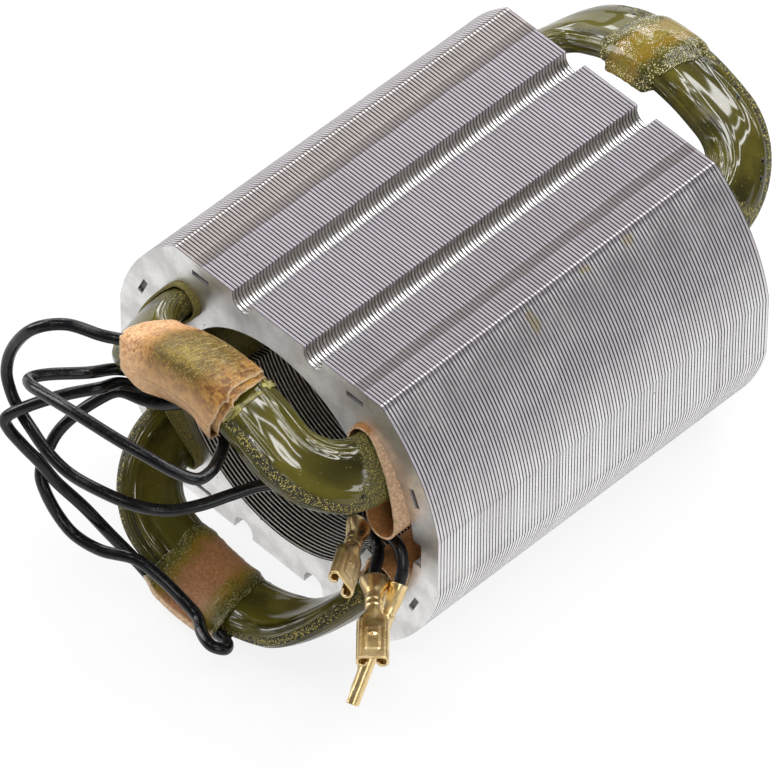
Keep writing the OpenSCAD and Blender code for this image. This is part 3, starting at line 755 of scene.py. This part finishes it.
wraps = {
    "upper_front_wrap": wrap_skin(
        "upper_front_paper", LEANS["upper_front"], UPPER_SEATS, middle=-0.0048, length=0.017,
        flip=(1, 1, 1), steps=60, seed=2.0, lift=corner_lift),
    "lower_front_wrap": wrap_skin(
        "lower_front_paper", LEANS["lower_front"], LOWER_SEATS, middle=-0.0027, length=0.014,
        flip=(1, 1, -1), steps=52, seed=6.0, soaked=True),
    "upper_rear_wrap": wrap_skin(
        "upper_rear_paper", LEANS["upper_rear"], [], middle=-0.001, length=0.010,
        flip=(1, -1, 1), steps=40, seed=11.0, lift=inner_lip, soaked=True),
    "lower_rear_wrap": wrap_skin(
        "lower_rear_paper", LEANS["lower_rear"], [], middle=-0.001, length=0.010,
        flip=(1, -1, -1), steps=40, seed=15.0, soaked=True),
}
for name, obj in wraps.items():
    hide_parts(name)
    print(obj.name, len(obj.data.polygons), "faces")
under = wrap_skin(
    "upper_front_under_paper", LEANS["upper_front"], UPPER_SEATS, middle=-0.0039, length=0.017,
    flip=(1, 1, 1), steps=50, seed=31.0, gap=0.00001, paper=0.00006)

# %% [markdown]
# ## Torn film
# Beside the upper wrap some varnish came off with the paper and stands up in thin flakes. Each flake is
# a small round sheet on the bundle with a jagged rim, lifted towards one side.

# %% Film flakes
# Each flake's length along the bundle, its place round it, its two half sizes and its seed
FLAKES = [(0.0049, 0.315, 0.0008, 0.0007, 1.0), (0.0052, 0.215, 0.0005, 0.0010, 4.0)]
FLAKE_SIDES = 28
FLAKE_RINGS = (0.02, 0.35, 0.7, 1.0)
FLAKE_GAP, FLAKE_LIFT = 0.00006, 0.0005
FILM_T = 0.00008
BUNDLE_SIDES = 360


def on_bundle(t, around, off):
    """Points of the upper front end turn at lengths t, places round it and heights above it."""
    turn = Turn(t, LEANS["upper_front"])
    pick = np.round(around * BUNDLE_SIDES).astype(int)[..., None] % BUNDLE_SIDES
    a, b = (np.take_along_axis(v, pick, -1)[..., 0] for v in section(turn.half(), BUNDLE_SIDES))
    grown = 1 + off / np.hypot(a, b)
    return turn.point(a * grown, b * grown)


def flake_rows(t, around, long, wide, seed):
    """Rings of points from the middle of a flake to its jagged rim."""
    angle = np.arange(FLAKE_SIDES) / FLAKE_SIDES * 2 * math.pi
    rim = np.stack((np.cos(angle), np.sin(angle), 0 * angle), -1)
    jagged = 1 + 0.7 * waves(rim, 1.6, seed) + 0.4 * waves(rim, 5, seed)
    out = np.array(FLAKE_RINGS)[:, None] * jagged
    along, across = out * np.cos(angle) * long, out * np.sin(angle) * wide
    lift = FLAKE_GAP + FLAKE_LIFT * np.clip(out * np.cos(angle - seed), 0, 1) ** 2
    return on_bundle(t + along, around + across / (PERIMETER / TO_MM), lift)


def make_film():
    film = Finish("yellow_film")
    cloud = film.noise(1.2, 3)
    grit = film.noise(6.0, 2)
    tone = film.mix(cloud.between(0.35, 0.65), rgb(0.12, 0.105, 0.016), rgb(0.33, 0.285, 0.06))
    tone = film.mix(grit.between(0.58, 0.66) * 0.6, tone, rgb(0.06, 0.05, 0.01))
    height = cloud + grit * 0.3
    return film.set(Base_Color=tone, Roughness=0.15 + cloud * 0.2, Normal=film.bump(height, 0.12))


film = make_film()
for k, flake in enumerate(FLAKES):
    obj = add_mesh(f"film_flake_{k}", flake_rows(*flake))
    thicken(obj, FILM_T, -1.0)
    wear(obj, film)
    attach(obj, "root")
print(len(FLAKES), "flakes")

# %% [markdown]
# ## Paper of the wraps
# Kraft paper is short brown fibres, so its base is noise at three sizes. Over it lies what happened to
# it: a varnish stain with golden grains, a pale dry part at its left that is lightened further as
# painted light, pale torn ends, a painted sheen along its front fold, and a crinkled film along its back
# with painted glints. A scan of real paper would have truer fibres, but it would not know where this
# wrap is stained, so all of it follows the marks on the points.

# %% Kraft paper
# Places along a wrap are in millimetres, and places round it are shares of the way.
KRAFT_DARK, KRAFT_LIGHT = rgb(0.15, 0.055, 0.010), rgb(0.42, 0.205, 0.04)
STAIN_ALONG, STAIN_AROUND = -3.2, 0.22
STAIN_LONG, STAIN_WIDE = 6.0, 5.0
DRY_AND_LIT_ALONG, WET_ALONG = (-11.5, -6.5), (-8.0, -4.0)


def make_kraft():
    """Brown paper with fibres, stained by varnish round a place along it and wet along its back, with
    painted light on its left end, its front fold and its wet crinkles.
    """
    paper = Finish("kraft_paper")
    along, around, end = map(paper.mark, ("along", "around", "end"))
    blot = paper.noise(0.45, 4)
    mottle = paper.noise(0.9, 4)
    pulp = paper.noise(2.4, 4, roughness=0.75)
    fibre = paper.noise(1.0, 4, paper.vector(along * 0.9, around * 90.0, mottle * 1.5))
    weave = (mottle * 0.4 + pulp * 0.4 + fibre * 0.2).between(0.43, 0.57)
    tone = paper.mix(weave, KRAFT_DARK, KRAFT_LIGHT)
    tone = paper.mix(pulp.between(0.56, 0.72) * 0.2, tone, rgb(0.60, 0.39, 0.18))
    # The dry left end is paler, and lightened further as painted light.
    dry_and_lit = paper.mix(pulp.between(0.36, 0.60), rgb(0.45, 0.19, 0.06), rgb(0.92, 0.58, 0.33))
    tone = paper.mix((1 - along.between(*DRY_AND_LIT_ALONG)) * 0.75, tone, dry_and_lit)

    # The stain is dark at its ragged rim and olive in its middle.
    aside = (along - STAIN_ALONG) / STAIN_LONG
    off = (around - STAIN_AROUND) * PERIMETER / STAIN_WIDE
    reach = aside * aside + off * off
    ragged = (blot - 0.5) * 1.6 + (pulp - 0.5) * 1.6
    front = (1 - abs(around - 0.5) * 2.0).between(0.04, 0.2)
    stain = (1.1 - reach + ragged).between(0.0, 1.0) * front
    bright = (0.45 - reach * 2.2 + ragged * 0.7).between(0.0, 0.7)
    olive = paper.mix(bright, rgb(0.105, 0.072, 0.006), rgb(0.26, 0.182, 0.013))
    tone = paper.mix(stain * 0.9, tone, olive)
    speck = (1 - paper.cells(3.2).between(0.2, 0.4)) * (stain * 0.55 + 0.08)
    tone = paper.mix(speck, tone, rgb(0.58, 0.42, 0.08))
    # Painted sheen along the fold at the front of the wrap.
    tone = paper.mix((1 - front) * 0.55, tone, rgb(0.66, 0.43, 0.24))
    tone = paper.mix(end.between(0.95, 1.0) * 0.6, tone, rgb(0.66, 0.50, 0.32))

    # The film on the back is wet in patches, and its crinkles catch the light through the bump. Paler
    # crinkles are painted glints.
    back = (1 - abs(around - 0.36) * 7.0).between(0.0, 0.7)
    patches = (paper.noise(0.5, 3) * 0.5 + blot * 0.5).between(0.35, 0.5)
    wet = back * patches * along.between(*WET_ALONG)
    crinkle = paper.noise(1.0, 3, paper.vector(along * 3.4, around * 52.0, 0.0))
    # Painted glints on the crinkles.
    tone = paper.mix(wet * crinkle.between(0.50, 0.66) * 0.35, tone, rgb(0.70, 0.57, 0.25))
    height = mottle * 0.6 + pulp * 0.8 * (1 - wet * 0.7) + crinkle * wet * 2.4 + speck * 0.5
    return paper.set(
        Base_Color=tone,
        Roughness=0.62 - stain * 0.12 - wet * 0.4,
        Specular_IOR_Level=0.35,
        Normal=paper.bump(height, 0.12),
    )


kraft = make_kraft()
wear(wraps["upper_front_wrap"], kraft)
wear(under, kraft)
print("kraft paper on the upper front wrap")

# %% [markdown]
# ## Soaked paper
# In the soaked wraps the varnish is the base. The lower front one keeps a brown core and a dry flap,
# whose pale tone is partly painted light, and the rear ones turned amber with golden grains. One
# function makes both kinds.

# %% Soaked paper
def make_soaked(name, core, spread, bare, grains):
    """Paper full of varnish: a core colour in its middle, olive with golden grains towards its ends, and
    a share of dry paper on its outer side, paler as paper and lightened further as painted light."""
    paper = Finish(name)
    around, end = paper.mark("around"), paper.mark("end")
    blot = paper.noise(0.5, 4)
    pulp = paper.noise(2.4, 4, roughness=0.75)
    olive = paper.mix(blot.between(0.35, 0.65), rgb(0.040, 0.038, 0.005), rgb(0.095, 0.085, 0.013))
    inside = 1 - (end + (blot - 0.5) * 0.6 + (pulp - 0.5) * 0.3).between(spread - 0.5, spread + 0.4)
    fibres = paper.mix(pulp.between(0.35, 0.65), core, rgb(*(1.7 * v for v in core[:3])))
    gold = paper.mix(inside.between(0.05, 0.5), olive, rgb(0.20, 0.125, 0.012))
    tone = paper.mix(inside.between(0.4, 0.95), gold, fibres)
    grit = 1 - paper.cells(4.0).between(0.2, 0.45)
    lip = (1 - abs(around - LIP_AT) * 9.0).between(0.0, 0.6)
    rim = (end * 0.8 + (blot - 0.5) * 1.6).between(0.25, 0.8).math("MAXIMUM", lip)
    speck = grit * (rim * grains + 0.06)
    tone = paper.mix(speck, tone, rgb(0.92, 0.80, 0.38))
    # Dry paper on the outer side, lightened further as painted light.
    dry_and_lit = (1 - (1 - abs(around - 0.5) * 2.0).between(0.06, 0.22)) * bare
    flap = paper.mix(pulp.between(0.35, 0.65), rgb(0.58, 0.36, 0.19), rgb(0.90, 0.67, 0.45))
    tone = paper.mix(dry_and_lit, tone, flap)
    bubbles = (1 - paper.cells(1.4).between(0.0, 0.35)) * rim
    height = blot * 0.6 + speck * 0.6 + bubbles * 0.6 + pulp * (0.03 + 0.17 * bare)
    return paper.set(
        Base_Color=tone,
        Roughness=0.09 + inside * 0.3 * bare + speck * 0.15 + dry_and_lit * 0.4,
        Normal=paper.bump(height, 0.2),
    )


brown = make_soaked("soaked_kraft_paper", rgb(0.25, 0.11, 0.045), spread=0.62, bare=0.9, grains=0.16)
amber = make_soaked("amber_paper", rgb(0.145, 0.108, 0.015), spread=0.36, bare=0.0, grains=1.0)
wear(wraps["lower_front_wrap"], brown)
wear(wraps["upper_rear_wrap"], amber)
wear(wraps["lower_rear_wrap"], amber)
print("soaked paper on the other wraps")

# %% [markdown]
# ## Slot liners
# Between coil and steel sits a folded sleeve of the same kind of paper, thicker and stiffer. It shows
# where it stands out of the slots, with pale cut edges. The solids serve as they are.

# %% Liner paper
SHADE = 0.55
OUTSIDE_R = (22.4, 22.9)


def shaded(colour):
    return rgb(*(SHADE * v for v in colour[:3]))


def make_liner(name, inside, outside, sand):
    """Stiff paper, pale where it was cut, with some share of varnish sand on it."""
    paper = Finish(name)
    x, y, z = paper.axes()
    normal = paper.node("ShaderNodeNewGeometry", out="True Normal")
    cut = abs(paper.axes(normal)[1]).between(0.4, 0.6)
    mottle = paper.noise(0.7, 4)
    fibre = paper.noise(3.0, 4)
    hair = paper.noise(1.0, 3, paper.vector(x * 9.0, y * 2.0, z * 2.0))
    radius = (x * x + z * z) ** 0.5
    weave = (fibre * 0.5 + hair * 0.3 + mottle * 0.2).between(0.36, 0.64)
    inner = paper.mix(weave, shaded(inside), inside)
    outer = paper.mix(weave, shaded(outside), outside)
    tone = paper.mix(radius.between(*OUTSIDE_R), inner, outer)
    tone = paper.mix(cut * fibre.between(0.3, 0.6), tone, rgb(0.70, 0.50, 0.33))
    grit = paper.noise(11.0, 3)
    crust = (mottle + grit * 0.5).between(0.95 - sand, 1.15 - sand)
    grains = paper.mix(grit.between(0.42, 0.58), rgb(0.04, 0.04, 0.012), rgb(0.33, 0.27, 0.06))
    tone = paper.mix(crust, tone, grains)
    height = fibre * 0.7 + hair * 0.3 + crust * grit
    return paper.set(Base_Color=tone, Roughness=0.75, Normal=paper.bump(height, 0.12))


right_paper = make_liner("slot_paper", rgb(0.46, 0.20, 0.055), rgb(0.70, 0.46, 0.28), 0.10)
left_paper = make_liner("sandy_slot_paper", rgb(0.30, 0.15, 0.045), rgb(0.40, 0.27, 0.10), 0.75)
liners = [name for name in nodes if name.endswith("_liner")]
for name in liners:
    wear(nodes[name], right_paper if name.startswith("right") else left_paper)
print(len(liners), "liners")

# %% [markdown]
# ## The terminals
# Each lead ends in a push-on receptacle, stamped from brass strip and rolled. One sheet makes it all: at
# the lead it is bent round the insulation, then round the bare wire, then it spreads into a flat plate
# whose edges curl in to grip a tab. So it is drawn as one profile that changes along the terminal, and
# a modifier gives the sheet its thickness.

# %% Terminal sheets
BRASS_T = 0.0003
TERMINAL_L = 0.0152
PLATE_L = 0.0072
ROLL_X, ROLL_R, ROLL_TURN = 0.0012, 0.0006, 1.45 * math.pi
FLARE_HALF, FLARE_LESS, FLARE_L = 0.0016, 0.00065, 0.0031
CRIMP_HALF_H, CRIMP_BEND = 0.00105, math.radians(152)
WIRE_FROM, WIRE_BLEND = 0.0022, 0.0012
WIRE_NARROWER, WIRE_LOWER = 0.00012, 0.0002
RIBS, RIB_H, RIB_REACH = (0.0042, 0.0053), 0.0001, 0.00022
SPREAD_FROM, SPREAD_L = 0.0060, 0.0022
WINDOW_HALF_W, WINDOW_HALF_L, WINDOW_SOFT, WINDOW_H = 0.00085, 0.0022, 0.00018, 0.00012
DIMPLE_W, DIMPLE_L, DIMPLE_BACK, DIMPLE_H = 0.00036, 0.00026, 0.0007, 0.00022
SHEET_ROWS, SHEET_COLUMNS = 120, 71
ROLLS = {"upper_start": 0, "upper_end": -50, "lower_start": 75, "lower_end": 0}


def gauss(x, middle, reach):
    return np.exp(-(((x - middle) / reach) ** 2))


def crimp_profile(u, y):
    """Across the sheet at u from -1 to 1, bent round the insulation and, further along y, the wire."""
    to_wire = ease((y - WIRE_FROM) / WIRE_BLEND)
    ribs = RIB_H * sum(gauss(y, rib, RIB_REACH) for rib in RIBS)
    wide = FLARE_HALF - FLARE_LESS * ease(y / FLARE_L) - WIRE_NARROWER * to_wire
    deep = CRIMP_HALF_H - WIRE_LOWER * to_wire
    return (wide + ribs) * np.sin(u * CRIMP_BEND), (deep + ribs) * np.cos(u * CRIMP_BEND)


def terminal_sheet():
    """Rows of points along a terminal that lies on +Y, its plate facing +Z."""
    u = np.linspace(-1, 1, SHEET_COLUMNS)
    y = np.linspace(0, TERMINAL_L, SHEET_ROWS)[:, None]
    run = np.abs(u) * (ROLL_X + ROLL_R * ROLL_TURN)
    turn = np.maximum(run - ROLL_X, 0) / ROLL_R
    plate_x = np.sign(u) * np.where(run < ROLL_X, run, ROLL_X + ROLL_R * np.sin(turn))
    plate_z = ROLL_R * np.cos(turn)
    crimp_x, crimp_z = crimp_profile(u, y)
    spread = ease((y - SPREAD_FROM) / SPREAD_L)
    x = crimp_x * (1 - spread) + plate_x * spread
    z = crimp_z * (1 - spread) + plate_z * spread
    off = y - (TERMINAL_L - PLATE_L / 2)
    window = ease((WINDOW_HALF_W - np.abs(x)) / WINDOW_SOFT)
    window = window * ease((WINDOW_HALF_L - np.abs(off)) / WINDOW_SOFT)
    dimple = gauss(x, 0, DIMPLE_W) * gauss(off, -DIMPLE_BACK, DIMPLE_L)
    z = z + (run < ROLL_X) * spread * (WINDOW_H * window + DIMPLE_H * dimple)
    return np.stack(np.broadcast_arrays(x, y, z), -1)


terminals = {}
for name, points in routes.items():
    start, end = Vector(points[-2]), Vector(points[-1])
    way = (end - start).normalized()
    turn = Matrix.Rotation(math.atan2(-way.x, way.y), 3, "Z") @ Matrix.Rotation(math.asin(way.z), 3, "X")
    turn = np.array(turn @ Matrix.Rotation(math.radians(ROLLS[name]), 3, "Y"))
    rows = terminal_sheet() @ turn.T + np.array(start)
    terminals[name] = add_mesh(name + "_receptacle", rows, tube=False)
    thicken(terminals[name], BRASS_T, 0.0)
    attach(terminals[name], "root")
    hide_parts(name + "_terminal")
print(len(terminals), "terminals")

# %% [markdown]
# ## Brass and insulation
# The splices are bare crimps under the wraps. The insulation of the leads is smooth and glossy, with
# faint dust. The brass strip is bright and a little uneven where it was rolled.

# %% Brass, insulation and cords
def make_brass():
    brass = Finish("bright_brass")
    uneven = brass.noise(0.7, 3)
    drawn = brass.noise(6.0, 3)
    tarnish = brass.noise(0.35, 4)
    tone = brass.mix(uneven.between(0.35, 0.7), rgb(0.80, 0.59, 0.28), rgb(0.93, 0.74, 0.42))
    tone = brass.mix(tarnish.between(0.56, 0.72) * 0.5, tone, rgb(0.38, 0.22, 0.07))
    return brass.set(
        Base_Color=tone,
        Metallic=1.0,
        Roughness=0.2 + tarnish * 0.2,
        Normal=brass.bump(uneven * 0.7 + drawn * 0.08, 0.05),
    )


def make_insulation():
    black = Finish("black_insulation")
    dust = black.noise(1.5, 4)
    scuff = black.noise(8.0, 2)
    tone = black.mix(dust.between(0.5, 0.75), rgb(0.004, 0.004, 0.005), rgb(0.016, 0.015, 0.015))
    return black.set(Base_Color=tone, Roughness=0.14 + scuff * 0.18, Normal=black.bump(dust, 0.03),
                     Specular_IOR_Level=0.35)


brass = make_brass()
insulation = make_insulation()
for name, lead in leads.items():
    wear(lead, insulation)
    wear(terminals[name], brass)
    wear(nodes[name + "_splice"], brass)
    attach(lead, "root")
    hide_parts(name + "_lead")
    line = lead_lines[name]
print(len(leads), "leads")

# %% [markdown]
# ## The floor
# The photograph shows the part on seamless white. A white world would leave it without a shadow, so a
# floor glows white to the camera and to mirrors, and is a plain pale surface to all else.

# %% Floor
FLOOR_SIZE = 3.0
SEEN_GLOW = 0.85


def make_floor():
    white = Finish("white_floor")
    tone = white.mix(white.noise(0.02, 2), rgb(0.90, 0.90, 0.90), rgb(0.94, 0.94, 0.94))
    white.set(Base_Color=tone, Roughness=0.9)
    seen = white.node("ShaderNodeLightPath", out="Is Camera Ray")
    mirrored = white.node("ShaderNodeLightPath", out="Is Glossy Ray")
    glow = white.node("ShaderNodeEmission", {}, {"Strength": 1.0})
    direct = (seen * SEEN_GLOW).math("MAXIMUM", mirrored)
    both = white.node("ShaderNodeMixShader", {}, [direct, Out(white, white.shader.outputs[0]), glow])
    white.plug(white.tree.nodes["Material Output"].inputs["Surface"], both)
    return white.material


mesh = bpy.data.meshes.new("studio_floor")
half, low = FLOOR_SIZE / 2, cad_bounds[0][2]
corners = [(-half, -half, low), (half, -half, low), (half, half, low), (-half, half, low)]
mesh.from_pydata(corners, [], [(0, 1, 2, 3)])
floor = add_object(mesh)
wear(floor, make_floor())
floor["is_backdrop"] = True
print("floor at", round(TO_MM * low, 2), "mm")

# %% [markdown]
# ## The lamps
# Soft boxes and a dim world give the even light of a product photograph. Varnish mirrors its lamps, and
# the long streaks on the coils are reflections of strips, so narrow lamps stand where those streaks
# mirror them. The fill above only brightens, and is hidden from mirrors.

# %% Lamps
WORLD_STRENGTH = 0.16
# Each lamp's place and size in metres, and its power in watts
LAMPS = {
    "back_softbox": ((-0.80, 0.80, 0.38), (1.6, 0.45), 3.2),
    "back_strip": ((-0.55, 0.75, 0.50), (0.9, 0.04), 1.3),
    "overhead_strip": ((0.15, 0.50, 0.80), (0.8, 0.07), 2.5),
    "high_strip": ((0.15, 0.25, 0.92), (1.0, 0.03), 1.6),
    "low_strip": ((0.15, 0.70, 0.62), (1.0, 0.03), 1.6),
    "left_softbox": ((-0.9, -0.35, 0.45), (0.4, 0.7), 6.0),
    "left_strip": ((-0.90, 0.46, 0.25), (0.14, 0.14), 0.35),
    "third_strip": ((0.10, 0.38, 0.87), (0.9, 0.02), 0.9),
    "fourth_strip": ((0.12, 0.60, 0.72), (0.9, 0.02), 0.9),
    "left_back_strip": ((-0.73, 0.51, 0.64), (0.05, 0.35), 0.8),
    "right_back_card": ((0.92, 0.24, 0.24), (0.12, 0.2), 0.5),
    "front_strip": ((0.35, -0.15, 0.92), (0.3, 0.05), 0.7),
    "left_high_strip": ((-0.75, -0.03, 0.66), (0.35, 0.05), 1.2),
    "front_high_strip": ((-0.12, -0.42, 0.90), (0.1, 0.1), 0.6),
    "right_fill": ((0.9, -0.5, 0.6), (0.5, 0.6), 2.5),
    "overhead_fill": ((0.1, -0.2, 1.1), (0.9, 0.9), 3.0),
}

scene = bpy.context.scene
scene.view_settings.view_transform = "Standard"
world = bpy.data.worlds.new("studio")
world.use_nodes = True
sky = world.node_tree.nodes["Background"]
sky.inputs["Color"].default_value = rgb(0.95, 0.97, 1.0)
sky.inputs["Strength"].default_value = WORLD_STRENGTH
scene.world = world
for name, (place, size, watts) in LAMPS.items():
    data = bpy.data.lights.new(name, "AREA")
    data.shape = "RECTANGLE"
    data.size, data.size_y = size
    data.energy = watts
    lamp = add_object(data)
    lamp.location = place
    lamp.rotation_euler = (-Vector(place)).to_track_quat("-Z", "Y").to_euler()
    lamp.visible_glossy = name != "overhead_fill"
print(len(LAMPS), "lamps")

# %% [markdown]
# ## Size and finish
# The boxes before and after show how much the looks add to the solids.

# %% Finish
boxes = {"cad": cad_bounds, "visual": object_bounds()}
boxes = {name: [[float(v) for v in corner] for corner in box] for name, box in boxes.items()}
print(boxes)
